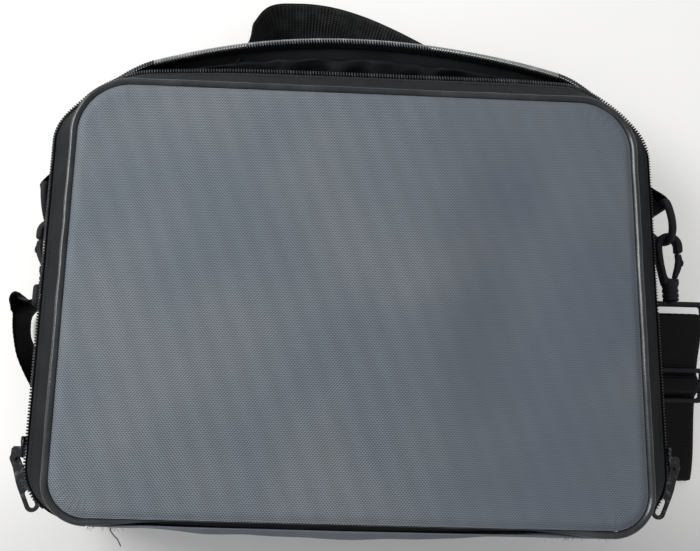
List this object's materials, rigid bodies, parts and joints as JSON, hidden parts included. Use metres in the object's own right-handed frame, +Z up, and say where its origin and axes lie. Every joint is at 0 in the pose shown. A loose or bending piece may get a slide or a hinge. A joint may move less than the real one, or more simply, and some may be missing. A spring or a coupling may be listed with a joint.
{
  "type": "zip-round carry case",
  "caption": "Soft zip-round carry case for a classroom data logger, with piped panels, open mouth, carry handle and clip-on webbing shoulder strap.",
  "frame": {"origin": "on the floor under the middle of the back panel, where the case lies on the strap beneath it", "axes": "+X to the right as seen from above, +Y towards the carry handle, +Z up out of the front panel"},
  "size_m": [0.471, 0.3778, 0.0846],
  "materials": {
    "grey_twill": "blue-grey polyester twill",
    "black_cloth": "black woven nylon",
    "lining_cloth": "thin black nylon lining",
    "piping_vinyl": "soft black vinyl piping, satin",
    "zip_tape": "black woven zip tape",
    "webbing": "black ribbed polypropylene webbing",
    "padding_foam": "soft grey foam",
    "stiffener_board": "grey board",
    "moulded_acetal": "black moulded plastic",
    "dark_metal": "dark plated die-cast metal"
  },
  "bodies": {
    "case": {"back_piping": "piping_vinyl", "back_panel": "black_cloth", "body_gusset": "black_cloth", "body_base_wall": "grey_twill", "body_zip_tape": "zip_tape", "body_zip_teeth": "moulded_acetal", "right_zip_stop": "dark_metal", "left_zip_stop": "dark_metal", "body_foam": "padding_foam", "body_lining": "lining_cloth", "handle_patch_left": "webbing", "handle_patch_right": "webbing", "right_tab": "webbing", "left_tab": "webbing", "right_loop": "moulded_acetal", "left_loop": "moulded_acetal", "strap_adjuster": "moulded_acetal", "shoulder_strap": "webbing"},
    "lid": {"front_piping": "piping_vinyl", "front_panel": "grey_twill", "lid_board": "stiffener_board", "lid_gusset": "black_cloth", "lid_base_wall": "grey_twill", "lid_zip_tape": "zip_tape", "lid_zip_teeth": "moulded_acetal", "lid_lining": "lining_cloth"},
    "handle": {"carry_handle": "webbing"},
    "right_slider": {"right_slider": "dark_metal"},
    "right_pull": {"right_pull": "dark_metal"},
    "right_ring": {"right_ring": "moulded_acetal"},
    "right_hook": {"right_hook": "moulded_acetal"},
    "right_gate": {"right_gate": "moulded_acetal"},
    "left_slider": {"left_slider": "dark_metal"},
    "left_pull": {"left_pull": "dark_metal"},
    "left_ring": {"left_ring": "moulded_acetal"},
    "left_hook": {"left_hook": "moulded_acetal"},
    "left_gate": {"left_gate": "moulded_acetal"}
  },
  "joints": [
    {"name": "lid_hinge", "type": "hinge", "parent": "case", "child": "lid", "pos_m": [0, -0.1507, 0.0615], "axis": [1, 0, 0], "range_deg": [0, 180]},
    {"name": "handle_swing", "type": "hinge", "parent": "case", "child": "handle", "pos_m": [-0.002, 0.1785, 0.041], "axis": [1, 0, 0], "range_deg": [0, 35]},
    {"name": "right_slider_run", "type": "slide", "parent": "case", "child": "right_slider", "axis": [0, 1, 0], "range_m": [0, 0.188]},
    {"name": "right_pull_turn", "type": "hinge", "parent": "right_slider", "child": "right_pull", "pos_m": [0.2071, -0.103, 0.0615], "axis": [0, 0, 1], "range_deg": [-20, 155]},
    {"name": "right_ring_turn", "type": "hinge", "parent": "case", "child": "right_ring", "pos_m": [0.2135, 0.076, 0.035], "axis": [0, 0, 1], "range_deg": [-2, 1]},
    {"name": "right_hook_swivel", "type": "hinge", "parent": "case", "child": "right_hook", "pos_m": [0.22287, 0.02322, 0.035], "axis": [0, 1, 0], "range_deg": [-8, 8]},
    {"name": "right_gate_spring", "type": "hinge", "parent": "right_hook", "child": "right_gate", "pos_m": [0.22687, 0.02962, 0.035], "axis": [0, 0, 1], "range_deg": [0, 13], "stiffness_Nm_per_rad": 0.02, "springref_deg": -20.05},
    {"name": "left_slider_run", "type": "slide", "parent": "case", "child": "left_slider", "axis": [0, 1, 0], "range_m": [0, 0.188]},
    {"name": "left_pull_turn", "type": "hinge", "parent": "left_slider", "child": "left_pull", "pos_m": [-0.2071, -0.103, 0.0615], "axis": [0, 0, -1], "range_deg": [-20, 155]},
    {"name": "left_ring_turn", "type": "hinge", "parent": "case", "child": "left_ring", "pos_m": [-0.2084, 0.076, 0.026], "axis": [0, 0, -1], "range_deg": [-2, 1]},
    {"name": "left_hook_swivel", "type": "hinge", "parent": "case", "child": "left_hook", "pos_m": [-0.20753, 0.02142, 0.026], "axis": [0, 1, 0], "range_deg": [-8, 8]},
    {"name": "left_gate_spring", "type": "hinge", "parent": "left_hook", "child": "left_gate", "pos_m": [-0.21153, 0.02781, 0.026], "axis": [0, 0, -1], "range_deg": [0, 13], "stiffness_Nm_per_rad": 0.02, "springref_deg": -20.05}
  ]
}
